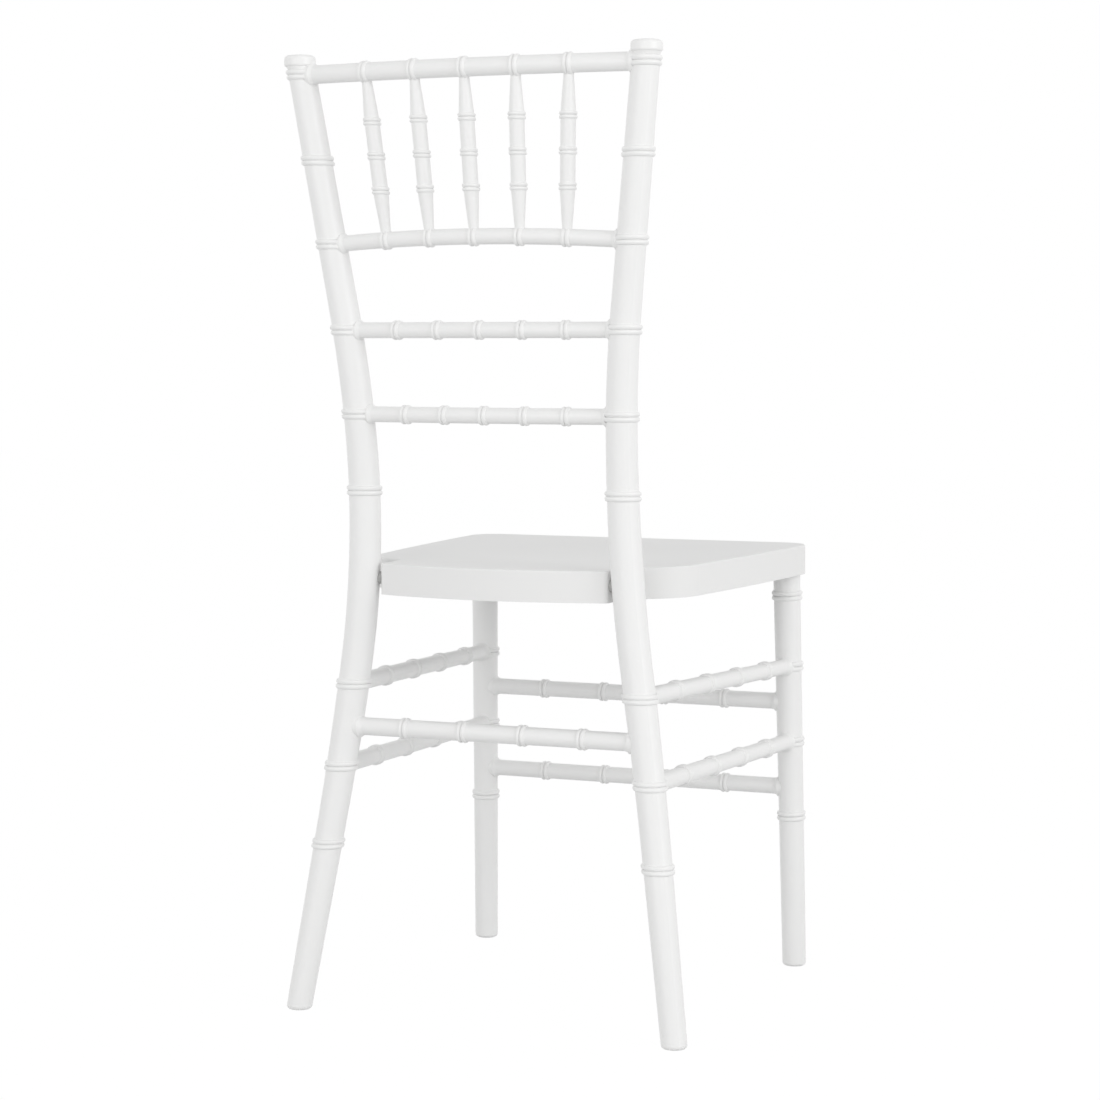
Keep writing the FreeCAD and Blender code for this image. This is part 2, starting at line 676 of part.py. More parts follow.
spindles = []
crest_holes = []
rail_holes = []
SPINDLE_COUNT = 5
for number in range(1, SPINDLE_COUNT + 1):
    step = (SPINDLE_COUNT + 1) / 2 - number
    top = crest_spot(step * mm("crest_pitch"))[0]
    bottom = spindle_rail_spot(step * mm("spindle_rail_pitch"))[0]
    label = "back_spindle_%d" % number
    length = (top - bottom).Length
    thick = cell("spindle_dia") / 2
    thin = cell("spindle_end_dia") / 2
    rail_radius = cell("rail_dia") / 2
    crest_radius = cell("crest_dia") / 2
    depth = cell("spindle_end_depth")
    middle = as_size(length / 2)
    pitch = cell("spindle_ring_pitch")
    outline = Outline()
    outline.line_to(0, rail_radius - depth)
    outline.line_to(thin, rail_radius - depth)
    outline.line_to(thin, rail_radius)
    for place in (middle - pitch, middle, middle + pitch):
        outline.rings(thick, place, cell("spindle_ring_half"), cell("spindle_ring_rise"))
    outline.line_to(thin, as_size(length) - crest_radius)
    outline.line_to(thin, as_size(length) - crest_radius + depth)
    outline.line_to(0, as_size(length) - crest_radius + depth)
    turned = turned_body(label, outline)
    turned.Placement = aimed(bottom, top)
    spindles.append((label, turned))
    for tag, here, there, rail_half, holes in (("foot", bottom, top, rail_radius, rail_holes),
                                               ("head", top, bottom, crest_radius, crest_holes)):
        way = (there - here).normalize()
        gap = cell("glue_gap")
        bottom_of_hole = here + way * (rail_half - depth - gap).value
        holes.append(cylinder("%s_%s_hole" % (label, tag), thin + gap,
                              depth + cell("rail_ring_rise") + cell("spindle_end_dia") / 2,
                              aimed(bottom_of_hole, there)))

crest_rail = cut("crest_rail", crest_solid, crest_holes)
spindle_rail = cut("spindle_rail", spindle_rail_solid, rail_holes)


# Front legs

def leg_profile(length, shoulder):
    """Half outline of a front leg along its own axis, from just under the floor to its top pin."""
    under = cell("floor_allowance")
    top_radius = cell("front_leg_dia_top") / 2
    foot_radius = cell("front_leg_dia_foot") / 2
    slope = (top_radius - foot_radius) / cell("seat_height")
    pin = cell("leg_pin_dia") / 2
    outline = Outline()
    outline.line_to(0, -under)
    outline.line_to(foot_radius, -under)
    for name in ("front_ring_height_4", "front_ring_height_3", "front_ring_height_2",
                 "front_ring_height_1"):
        station = cell(name) * leg_stretch()
        outline.rings(foot_radius + slope * station, station, cell("post_ring_half"),
                      cell("post_ring_rise"))
    outline.line_to(foot_radius + slope * shoulder, shoulder)
    outline.line_to(pin, shoulder)
    outline.line_to(pin, length)
    outline.line_to(0, length)
    return outline


def leg_stretch():
    """Length along the leaning leg for each millimetre of height."""
    rise = leg_point(1, 100.0) - leg_point(1, 0.0)
    return rise.Length / 100.0


def seat_place():
    """Frame of the seat: its lower face, at the rear end of the tongue's sides."""
    return Placement(Vector(0, mm("seat_tongue_y"), mm("seat_height") - mm("seat_depth")),
                     Rotation(Vector(1, 0, 0), -mm("seat_tilt")))


def seat_level(along, above):
    """Height over the floor of a point of the seat, above its lower face."""
    return seat_place().multVec(Vector(0, along - mm("seat_tongue_y"), above)).z


def ceiling():
    """Height of the seat's hollow over its lower face."""
    return cell("seat_depth") - cell("seat_dish_depth") - cell("seat_top_wall")


leg_blanks = {}
leg_tools = {}
leg_cores = {}
leg_top_play = mm("leg_top_play")
leg_mid = leg_point(1, mm("seat_height") - mm("seat_depth"))
shoulder_height = seat_level(leg_mid.y, mm("leg_socket_recess")) - leg_top_play
leg_top_height = seat_level(leg_mid.y, ceiling().value) - leg_top_play
for word, side in SIDES:
    base = leg_point(side, 0.0)
    tip = leg_point(side, mm("seat_height"))
    stretch = leg_stretch()
    blank = turned_body("front_leg_blank_" + word,
                        leg_profile(as_size(leg_top_height * stretch), as_size(shoulder_height * stretch)))
    blank.Placement = aimed(base, tip, -30 if side > 0 else 210)
    leg_blanks[side] = blank
    core = cylinder("front_leg_core_" + word, cell("core_dia") / 2,
                    cell("seat_height") - cell("core_end_cover") * 3,
                    aimed(leg_point(side, mm("core_end_cover")), tip))
    leg_cores[side] = core
    leg_tools[side] = [core]


# Stretchers

def stretcher(name, start, end, start_hold, end_hold, start_size, end_size, stations, holders, sockets):
    """A straight stretcher, trimmed to its holders, with spigots; cuts their sockets too."""
    length = (end - start).Length
    bar = straight_bar(name + "_bar", as_size(length), cell(start_size) / 2, cell(end_size) / 2,
                       as_size(start_hold), as_size(end_hold), stations)
    bar.Placement = aimed(start, end)
    trimmed = cut_each(name + "_trimmed", bar, holders)
    spigots = spigot_pair(name + "_spigot", start, end, start_hold, end_hold)
    gap = mm("glue_gap")
    holes = spigot_pair(name + "_socket", start, end, start_hold, end_hold, gap, gap)
    sockets[0].append(holes[0])
    sockets[1].append(holes[1])
    return fuse(name, [trimmed] + spigots)


def even_stations(length, pitch, count):
    """Stations of ring pairs, evenly spaced about the middle of a bar."""
    middle = as_size(length / 2)
    return [middle + pitch * (index - (count - 1) / 2) for index in range(count)]


members = []
height = mm("rear_stretcher_height")
ends = [post_point(side, height) for side in (1, -1)]
hold_radius = post_radius(height)
members.append(("rear_stretcher", stretcher(
    "rear_stretcher", ends[0], ends[1], hold_radius, hold_radius, "rear_stretcher_dia", "rear_stretcher_dia",
    even_stations((ends[1] - ends[0]).Length, cell("rear_stretcher_pitch"), 4),
    [post_stub(1, height), post_stub(-1, height)], (post_sockets[1], post_sockets[-1]))))

for word in ("upper", "lower"):
    height = mm("front_%s_height" % word)
    ends = [leg_point(side, height) for side in (1, -1)]
    hold_radius = leg_radius(height)
    name = "front_stretcher_" + word
    members.append((name, stretcher(
        name, ends[0], ends[1], hold_radius, hold_radius, "front_stretcher_dia", "front_stretcher_dia",
        even_stations((ends[1] - ends[0]).Length, cell("front_stretcher_pitch"), 4),
        [leg_blanks[1], leg_blanks[-1]], (leg_tools[1], leg_tools[-1]))))

for side_word, side in SIDES:
    for word, leg_name in (("upper", "front_ring_height_2"), ("lower", "front_ring_height_3")):
        rear = post_point(side, mm("%s_side_height" % word))
        front = leg_point(side, mm(leg_name))
        stations = [cell("side_first_ring") + cell("side_ring_pitch") * index for index in range(4)]
        name = "side_stretcher_%s_%s" % (side_word, word)
        members.append((name, stretcher(
            name, rear, front, post_radius(rear.z), leg_radius(front.z), "side_dia_rear", "side_dia_front",
            stations, [post_stub(side, rear.z), leg_blanks[side]], (post_sockets[side], leg_tools[side]))))


# Seat

def seat_outline(inset, front_corner):
    """Plan of the seat in its own frame, drawn in by an inset; a front corner of 0 stays sharp."""
    rear = cell("seat_tongue_y")
    front_y = cell("seat_front_y") - rear + inset
    shoulder_y = cell("seat_shoulder_y") - rear - inset
    front_half = cell("seat_front_half") - inset
    rear_half = cell("seat_rear_half") - inset
    tongue_half = cell("seat_tongue_half") - inset
    tongue_y = as_size(0) - inset
    side_end = cell("seat_side_end_y") - rear
    corner = cell("seat_rear_corner") - inset
    run = cell("seat_side_end_y") - cell("seat_front_y")
    bow = cell("seat_side_bow")
    side_radius = (run * run / 4 + bow * bow) / (bow * 2)
    rear_bow = cell("seat_rear_bow")
    rear_radius = (cell("seat_tongue_half") * cell("seat_tongue_half") + rear_bow * rear_bow) / (rear_bow * 2)
    outline = Outline()
    outline.line_to(-front_half + front_corner, front_y)
    outline.line_to(front_half - front_corner, front_y)
    if front_corner.value > 0:
        outline.arc_to(front_half, front_y + front_corner, front_corner, 1)
    outline.arc_to(rear_half, side_end, side_radius, 1)
    outline.arc_to(tongue_half, shoulder_y, corner, 1)
    outline.line_to(tongue_half, tongue_y)
    outline.arc_to(-tongue_half, tongue_y, rear_radius, 1)
    outline.line_to(-tongue_half, shoulder_y)
    outline.arc_to(-rear_half, side_end, corner, 1)
    outline.arcs[len(outline.corners) - 1] = (side_radius, 1)
    if front_corner.value > 0:
        outline.line_to(-front_half, front_y + front_corner)
        outline.arcs[len(outline.corners) - 1] = (front_corner, 1)
    return outline


def upright_edges(shape, corners):
    """Names of the upright edges of a shape that stand at the given plan corners."""
    names = []
    for number, edge in enumerate(shape.Edges, start=1):
        box = edge.BoundBox
        if max(box.XLength, box.YLength) > 0.01:
            continue
        for across, along in corners:
            if math.hypot(box.Center.x - across, box.Center.y - along) < 0.5:
                names.append("Edge%d" % number)
    return names


def round_corners(body, base, name, corners, radius):
    """Rounds the upright edges at some plan corners of a body's latest feature."""
    doc.recompute()
    rounding = body.newObject("PartDesign::Fillet", name)
    rounding.Base = (base, upright_edges(base.Shape, corners))
    rounding.setExpression("Radius", as_size(radius).text)
    body.Tip = rounding
    return rounding


seat_body = new_body("seat_moulding")
plan = new_sketch(seat_body, "seat_plan", "XY_Plane")
seat_outline(as_size(0), as_size(0)).draw(plan)
slab = seat_body.newObject("PartDesign::Pad", "seat_slab")
slab.Profile = plan
slab.setExpression("Length", cell("seat_depth").text)
seat_body.Tip = slab


def both_sides(across, along):
    return [(sign * across.value, along.value) for sign in (-1, 1)]


def corner_sets(inset):
    """The seat's plan corners with the radius that each gets, drawn in by an inset."""
    rear = cell("seat_tongue_y")
    shoulder = cell("seat_shoulder_y") - rear - inset
    return (
        ("front", both_sides(cell("seat_front_half") - inset, cell("seat_front_y") - rear + inset),
         cell("seat_front_corner") - inset),
        ("root", both_sides(cell("seat_tongue_half") - inset, shoulder), cell("seat_root_corner") + inset),
        ("tongue", both_sides(cell("seat_tongue_half") - inset, as_size(0) - inset),
         cell("seat_tongue_corner") - inset),
    )


rounded = slab
for word, corners, radius in corner_sets(as_size(0)):
    rounded = round_corners(seat_body, rounded, "seat_%s_corners" % word, corners, radius)
doc.recompute()
rim_edges = []
for number, edge in enumerate(rounded.Shape.Edges, start=1):
    if edge.BoundBox.ZMin > mm("seat_depth") - 0.01:
        rim_edges.append("Edge%d" % number)
rim = seat_body.newObject("PartDesign::Fillet", "seat_rim")
rim.Base = (rounded, rim_edges)
rim.setExpression("Radius", cell("seat_edge_round").text)
seat_body.Tip = rim

dish_sketch = new_sketch(seat_body, "seat_dish_profile", "XZ_Plane")
dish_width = cell("seat_dish_radius")
dish_deep = cell("seat_dish_depth")
dish_curve = (dish_width * dish_width + dish_deep * dish_deep) / (dish_deep * 4)
dish_outline = Outline()
dish_outline.line_to(0, cell("seat_depth") - dish_deep)
dish_outline.arc_to(dish_width / 2, cell("seat_depth") - dish_deep / 2, dish_curve, 1)
dish_outline.arc_to(dish_width, cell("seat_depth"), dish_curve, -1)
dish_outline.line_to(dish_width, cell("seat_depth") + cell("overlap"))
dish_outline.line_to(0, cell("seat_depth") + cell("overlap"))
dish_outline.draw(dish_sketch)
dish_sketch.setExpression("AttachmentOffset.Base.z",
                          (cell("seat_tongue_y") - cell("seat_dish_y")).text)
doc.recompute()
before = rim.Shape.Volume
dish = seat_body.newObject("PartDesign::Groove", "seat_dish")
dish.Profile = dish_sketch
dish.ReferenceAxis = (dish_sketch, ["V_Axis"])
dish.Angle = 360
seat_body.Tip = dish
doc.recompute()
assert dish.Shape.Volume < before - 1000, "the dish cuts nothing"

hollow_plan = new_sketch(seat_body, "seat_hollow_plan", "XY_Plane")
seat_outline(cell("seat_wall"), cell("seat_front_corner") - cell("seat_wall")).draw(hollow_plan)
hollow = seat_body.newObject("PartDesign::Pocket", "seat_hollow")
hollow.Profile = hollow_plan
hollow.Type = 0
hollow.setExpression("Length", ceiling().text)
hollow.Reversed = True
seat_body.Tip = hollow
doc.recompute()
assert hollow.Shape.Volume < dish.Shape.Volume * 0.6, "the hollow cuts nothing"
rounded = hollow
for word, corners, radius in corner_sets(cell("seat_wall"))[1:]:
    rounded = round_corners(seat_body, rounded, "seat_hollow_%s_corners" % word, corners, radius)


def underside_block(name, low_x, low_y, high_x, high_y, low_z):
    """Material under the seat's top, between two plan corners, down to a level."""
    sketch = new_sketch(seat_body, name + "_plan", "XY_Plane")
    outline = Outline()
    outline.line_to(low_x, low_y)
    outline.line_to(high_x, low_y)
    outline.line_to(high_x, high_y)
    outline.line_to(low_x, high_y)
    outline.draw(sketch)
    sketch.setExpression("AttachmentOffset.Base.z", as_size(low_z).text)
    block = seat_body.newObject("PartDesign::Pad", name)
    block.Profile = sketch
    block.setExpression("Length", (ceiling() - low_z + cell("overlap")).text)
    seat_body.Tip = block
    return block


RIB_COUNT = 3
rib_half = cell("seat_rib") / 2
rib_low = ceiling() - cell("seat_rib_depth")
spread = cell("seat_rib_spacing")
rib_front = cell("seat_front_y") - cell("seat_tongue_y") + cell("seat_wall") / 2
rib_rear = as_size(0) - cell("seat_wall") / 2
for number in range(1, RIB_COUNT + 1):
    place = spread * (number - (RIB_COUNT + 1) / 2)
    underside_block("seat_long_rib_%d" % number, place - rib_half, rib_front, place + rib_half, rib_rear,
                    rib_low)
cross_half = cell("seat_rear_half") - cell("seat_wall") / 2
for number in range(1, RIB_COUNT + 1):
    place = rib_front + spread * number
    underside_block("seat_cross_rib_%d" % number, -cross_half, place - rib_half, cross_half,
                    place + rib_half, rib_low)
bolt_height = cell("bolt_above_edge")
post_at_seat = post_point(1, mm("seat_height") - mm("seat_depth") + mm("bolt_above_edge"))
bolt_y = as_size(post_at_seat.y) - cell("bolt_forward") - cell("seat_tongue_y")
for word, side in SIDES:
    near = (cell("seat_tongue_half") - cell("seat_wall") / 2) * side
    far = (cell("seat_tongue_half") - cell("seat_wall") - cell("bolt_pad")) * side
    low, high = (far, near) if side > 0 else (near, far)
    pad_half = cell("bolt_pad_half")
    underside_block("seat_bolt_pad_" + word, low, bolt_y - pad_half, high,
                    as_size(0) - cell("seat_wall") / 2, cell("seat_wall") / 2)

for word, side in SIDES:
    centre = seat_place().inverse().multVec(leg_point(side, shoulder_height))
    sketch = new_sketch(seat_body, "seat_leg_socket_%s_plan" % word, "XY_Plane")
    wide = cell("leg_pin_dia") / 2 + cell("leg_socket_wall")
    ring = sketch.addGeometry(Part.Circle(Vector(centre.x, centre.y, 0), Vector(0, 0, 1), wide.value), False)
    number = constrain(sketch, "Radius", ring, wide.value)
    sketch.setExpression("Constraints[%d]" % number, wide.text)
    hold(sketch, "DistanceX", ring, 3, as_size(centre.x), -2)
    hold(sketch, "DistanceY", ring, 3, as_size(centre.y), -1)
    sketch.setExpression("AttachmentOffset.Base.z", cell("leg_socket_recess").text)
    boss = seat_body.newObject("PartDesign::Pad", "seat_leg_socket_" + word)
    boss.Profile = sketch
    boss.setExpression("Length", (ceiling() - cell("leg_socket_recess") + cell("overlap")).text)
    seat_body.Tip = boss
seat_body.Placement = seat_place()
doc.recompute()


# Seat fixings

def ring_shape(outer, inner, thickness, placement):
    ring = Part.makeCylinder(outer, thickness).cut(Part.makeCylinder(inner, thickness))
    ring.Placement = placement
    return ring


def bolt_shape(diameter, length, head_diameter, head_height, placement):
    """A socket-head screw: local Z runs from under the head to the tip."""
    shank = Part.makeCylinder(diameter / 2, length)
    tip = sorted(edge_circles(shank), key=lambda edge: edge.BoundBox.Center.z)[-1]
    shank = shank.makeChamfer(diameter * mm("screw_chamfer"), [tip])
    head = Part.makeCylinder(head_diameter / 2, head_height, Vector(0, 0, -head_height))
    rim_edge = sorted(edge_circles(head), key=lambda edge: edge.BoundBox.Center.z)[0]
    head = head.makeFillet(head_height * mm("head_round"), [rim_edge])
    corners = []
    for turn in range(7):
        angle = math.radians(60 * turn)
        corners.append(Vector(math.cos(angle), math.sin(angle), 0) * (diameter * mm("key_size")))
    key = Part.Face(Part.makePolygon(corners)).extrude(Vector(0, 0, head_height * mm("key_depth")))
    key.translate(Vector(0, 0, -head_height))
    bolt = shank.fuse(head).cut(key)
    bolt.Placement = placement
    return bolt


bolts = []
bolt_washers = []
inserts = []
spacers = []
seat_tools = []
for word, side in SIDES:
    inner_face = Vector(side * (mm("seat_tongue_half") - mm("seat_wall") - mm("bolt_pad")),
                        bolt_y.value, bolt_height.value)
    outer_face = Vector(side * mm("seat_tongue_half"), bolt_y.value, bolt_height.value)
    start = seat_place().multVec(inner_face)
    outside = seat_place().multVec(outer_face)
    way = Vector(side, 0, 0)
    turn = Rotation(Vector(0, 0, 1), way)
    seated = start - way * mm("washer_thickness")
    bolts.append(bolt_shape(mm("bolt_dia"), mm("bolt_length"), mm("bolt_head_dia"), mm("bolt_head_height"),
                            Placement(seated, turn)))
    bolt_washers.append(ring_shape(mm("bolt_dia") / 2 + mm("washer_rim"),
                                   mm("bolt_dia") / 2 + mm("screw_clearance"), mm("washer_thickness"),
                                   Placement(seated, turn)))
    middle = post_point(side, outside.z)
    surface = middle.x - side * math.sqrt(post_radius(outside.z) ** 2 - mm("bolt_forward") ** 2)
    insert_start = Vector(surface + side * mm("insert_sink"), outside.y, outside.z)
    inserts.append(ring_shape(mm("insert_dia") / 2, mm("bolt_dia") / 2, mm("insert_length"),
                              Placement(insert_start, turn)))
    spacer = ring_shape(mm("spacer_dia") / 2, mm("bolt_dia") / 2 + mm("screw_clearance"),
                        abs(middle.x - outside.x), Placement(outside, turn))
    spacers.append(spacer.cut(post_blanks[side].Shape))
    seat_tools.append(cylinder("seat_bolt_hole_" + word, cell("bolt_dia") / 2 + cell("screw_clearance"),
                               cell("seat_wall") + cell("bolt_pad") + cell("overlap") * 2,
                               Placement(start - way * mm("overlap"), turn)))
    insert_seat = cylinder("insert_seat_" + word, cell("insert_dia") / 2,
                           cell("insert_length") + cell("insert_sink") + cell("overlap"),
                           Placement(insert_start - way * (mm("insert_sink") + mm("overlap")), turn))
    post_sockets[side].append(insert_seat)

leg_screws = []
leg_screw_washers = []
pads = []
socket_outer = mm("leg_pin_dia") / 2 + mm("leg_socket_wall")
for word, side in SIDES:
    axis_spot = leg_point(side, (shoulder_height + leg_top_height) / 2)
    way = Vector(side, -1, 0).normalize()
    turn = Rotation(Vector(0, 0, 1), way)
    flat = axis_spot - way * (socket_outer + mm("leg_pad_stand"))
    seated = flat - way * mm("washer_thickness")
    leg_screws.append(bolt_shape(mm("leg_screw_dia"), mm("leg_screw_length"), mm("leg_screw_head_dia"),
                                 mm("leg_screw_head_height"), Placement(seated, turn)))
    leg_screw_washers.append(ring_shape(mm("leg_screw_dia") / 2 + mm("washer_rim"),
                                        mm("leg_screw_dia") / 2 + mm("screw_clearance"),
                                        mm("washer_thickness"), Placement(seated, turn)))
    seat_tools.append(cylinder("leg_screw_hole_" + word, cell("leg_screw_dia") / 2 + cell("screw_clearance"),
                               cell("leg_socket_wall") + cell("leg_pad_stand") + cell("overlap") * 2,
                               Placement(flat - way * mm("overlap"), turn)))
    leg_tools[side].append(cylinder("leg_screw_bore_" + word, cell("leg_screw_dia") / 2,
                                    cell("leg_screw_length") + cell("overlap"), Placement(seated, turn)))
    spot_face = doc.addObject("Part::Box", "leg_screw_pad_" + word)
    for direction in ("Length", "Width"):
        spot_face.setExpression(direction, cell("leg_pad_size").text)
    spot_face.setExpression("Height", cell("leg_pad_height").text)
    corner = Vector(-mm("leg_pad_size") / 2, -mm("leg_pad_size") / 2, 0)
    spot_face.Placement = Placement(flat, turn).multiply(Placement(corner, Rotation()))
    pads.append(spot_face)

leg_sockets = []
for word, side in SIDES:
    play = cell("glue_gap")
    tip = leg_point(side, mm("seat_height"))
    base = leg_point(side, shoulder_height)
    leg_sockets.append(cylinder("leg_pin_bore_" + word, cell("leg_pin_dia") / 2 + play,
                                as_size(leg_top_height - shoulder_height + leg_top_play * 1.5),
                                aimed(base, tip)))
    relief_start = leg_point(side, shoulder_height - mm("leg_relief"))
    leg_sockets.append(cylinder("leg_relief_" + word, cell("front_leg_dia_top") / 2 + cell("leg_play"),
                                cell("leg_relief") + cell("leg_top_play"), aimed(relief_start, tip)))

seat_with_pads = fuse("seat_with_pads", [seat_body] + pads)
seat = cut("seat", seat_with_pads, seat_tools + leg_sockets)

# Posts and legs with their sockets

floor_block = doc.addObject("Part::Box", "floor_block")
floor_width = cell("overall_height")
floor_block.setExpression("Length", floor_width.text)
floor_block.setExpression("Width", floor_width.text)
floor_block.setExpression("Height", (cell("floor_allowance") * 2).text)
floor_block.Placement = Placement(Vector(-floor_width.value / 2, -floor_width.value / 2,
                                         -mm("floor_allowance") * 2), Rotation())

PAIRS = ("seat_rear_bolts", "seat_rear_washers", "post_thread_inserts", "seat_spacers", "front_leg_screws",
         "front_leg_screw_washers")
nodes = []
for word, side in SIDES:
    nodes.append(("back_post_" + word, cut("back_post_" + word, post_blanks[side], post_sockets[side])))
for word, side in SIDES:
    cored = cut("front_leg_cored_" + word, leg_blanks[side], leg_tools[side] + [floor_block])
    doc.recompute()
    foot = doc.addObject("Part::Fillet", "front_leg_" + word)
    foot.Base = cored
    foot.Edges = [(number, mm("foot_round"), mm("foot_round"))
                  for number, edge in enumerate(cored.Shape.Edges, start=1) if edge.BoundBox.ZMax < 0.01]
    nodes.append(("front_leg_" + word, foot))
nodes.append(("crest_rail", crest_rail))
nodes.append(("spindle_rail", spindle_rail))
nodes.append(("upper_ladder_rail", upper_ladder_solid))
nodes.append(("lower_ladder_rail", lower_ladder_solid))
nodes += spindles
nodes += members
nodes.append(("seat", seat))
for word, side in SIDES:
    nodes.append(("back_post_core_" + word, post_cores[side]))
    nodes.append(("front_leg_core_" + word, leg_cores[side]))
nodes.append(("seat_rear_bolts", shape_object("seat_rear_bolts", Part.makeCompound(bolts))))
nodes.append(("seat_rear_washers", shape_object("seat_rear_washers", Part.makeCompound(bolt_washers))))
nodes.append(("post_thread_inserts", shape_object("post_thread_inserts", Part.makeCompound(inserts))))
nodes.append(("seat_spacers", shape_object("seat_spacers", Part.makeCompound(spacers))))
nodes.append(("front_leg_screws", shape_object("front_leg_screws", Part.makeCompound(leg_screws))))
nodes.append(("front_leg_screw_washers", shape_object("front_leg_screw_washers",
                                                      Part.makeCompound(leg_screw_washers))))
doc.recompute()

for item in doc.Objects:
    if "Invalid" in item.State or "Error" in item.State:
        raise SystemExit("%s failed: %s" % (item.Name, item.State))
for name, item in nodes:
    item.Label = name
    shape = item.Shape
    wanted = 2 if name in PAIRS else 1
    if shape.isNull() or not shape.isValid() or len(shape.Solids) != wanted:
        raise SystemExit("%s is not %d valid solid(s)" % (name, wanted))

os.makedirs("parts", exist_ok=True)
for name, item in nodes:
    item.Shape.exportStep("parts/%s.step" % name)
    print("%-28s solids %d volume %.0f" % (name, len(item.Shape.Solids), item.Shape.Volume))
box = Part.makeCompound([item.Shape for _, item in nodes]).BoundBox
print("box x %.1f %.1f" % (box.XMin, box.XMax))
print("box y %.1f %.1f" % (box.YMin, box.YMax))
print("box z %.1f %.1f" % (box.ZMin, box.ZMax))
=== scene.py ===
import bpy
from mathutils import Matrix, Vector


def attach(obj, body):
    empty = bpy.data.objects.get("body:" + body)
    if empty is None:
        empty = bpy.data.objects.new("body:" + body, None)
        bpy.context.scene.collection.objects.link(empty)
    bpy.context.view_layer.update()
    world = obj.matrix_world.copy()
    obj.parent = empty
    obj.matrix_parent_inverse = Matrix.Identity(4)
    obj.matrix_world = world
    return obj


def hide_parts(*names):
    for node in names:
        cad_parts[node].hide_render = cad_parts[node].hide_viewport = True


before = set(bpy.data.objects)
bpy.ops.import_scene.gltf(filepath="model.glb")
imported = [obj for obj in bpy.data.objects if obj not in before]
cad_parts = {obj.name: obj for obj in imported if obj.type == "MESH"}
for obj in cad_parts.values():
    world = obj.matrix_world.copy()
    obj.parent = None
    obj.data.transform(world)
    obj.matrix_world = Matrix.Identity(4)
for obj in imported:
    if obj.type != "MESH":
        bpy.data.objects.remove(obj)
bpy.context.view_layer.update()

# The view: a long lens behind the chair and to the sitter's right, 0.65 m up and looking slightly
# down. The lens is measured over the square frame's width.
EYE = Vector((-1.1685, 2.6194, 0.6495))
LOOK = Vector((0.40877, -0.90982, -0.07164))
LENS = 94.55
view = bpy.data.cameras.new("view_from_behind")
view.lens = LENS
view.sensor_width = 36.0
view.clip_end = 60.0
viewer = bpy.data.objects.new("view_from_behind", view)
viewer.location = EYE
viewer.rotation_euler = LOOK.to_track_quat("-Z", "Y").to_euler()
bpy.context.scene.collection.objects.link(viewer)
bpy.context.scene.camera = viewer


# The frame's resin: white nylon-like plastic, injection moulded in a polished tool. It leaves the tool
# with a satin gloss, a very fine rippled skin, slow drifts of tone where the melt cooled unevenly, and
# small dull rub marks from stacking. Each noise has its scale per metre, its detail and its roughness.
TONE_DRIFT_NOISE = (9.0, 2.0, 0.5)
RUB_NOISE = (55.0, 6.0, 0.65)
RIPPLE_NOISE = (420.0, 3.0, 0.5)
NOISE_MIDDLE = 0.5
RESIN_RUB = 0.15
RIPPLE_STRENGTH = 0.1
RIPPLE_DEPTH = 0.00002
RESIN_IOR = 1.49


def moulded_skin_group():
    """Node group: tone drift, rub marks and a rippled skin, all from three noise fields in metres."""
    group = bpy.data.node_groups.new("moulded_skin", "ShaderNodeTree")
    make = group.interface.new_socket
    for name, kind in (("Tint", "NodeSocketColor"), ("Drift", "NodeSocketFloat"),
                       ("Gloss Floor", "NodeSocketFloat"), ("Rub", "NodeSocketFloat")):
        make(name=name, in_out="INPUT", socket_type=kind)
    for name, kind in (("Color", "NodeSocketColor"), ("Roughness", "NodeSocketFloat"),
                       ("Height", "NodeSocketFloat")):
        make(name=name, in_out="OUTPUT", socket_type=kind)
    add = group.nodes.new
    link = group.links.new
    given = add("NodeGroupInput")
    result = add("NodeGroupOutput")
    place = add("ShaderNodeTexCoord")

    def noise(scale, detail, roughness):
        field = add("ShaderNodeTexNoise")
        field.inputs["Scale"].default_value = scale
        field.inputs["Detail"].default_value = detail
        field.inputs["Roughness"].default_value = roughness
        link(place.outputs["Object"], field.inputs["Vector"])
        return field.outputs["Fac"]

    def arithmetic(kind, first, second):
        step = add("ShaderNodeMath")
        step.operation = kind
        for socket, value in zip(step.inputs, (first, second)):
            if isinstance(value, (int, float)):
                socket.default_value = value
            else:
                link(value, socket)
        return step.outputs[0]

    slow = noise(*TONE_DRIFT_NOISE)
    rubs = noise(*RUB_NOISE)
    ripple = noise(*RIPPLE_NOISE)
    drift = arithmetic("MULTIPLY", arithmetic("SUBTRACT", slow, NOISE_MIDDLE), given.outputs["Drift"])
    value = arithmetic("ADD", drift, 1.0)
    tone = add("ShaderNodeVectorMath")
    tone.operation = "SCALE"
    link(given.outputs["Tint"], tone.inputs[0])
    link(value, tone.inputs["Scale"])
    link(tone.outputs["Vector"], result.inputs["Color"])
    patches = arithmetic("MAXIMUM", arithmetic("SUBTRACT", rubs, NOISE_MIDDLE), 0.0)
    worn = arithmetic("MULTIPLY", patches, given.outputs["Rub"])
    link(arithmetic("ADD", given.outputs["Gloss Floor"], worn), result.inputs["Roughness"])
    link(ripple, result.inputs["Height"])
    return group


SKIN = moulded_skin_group()


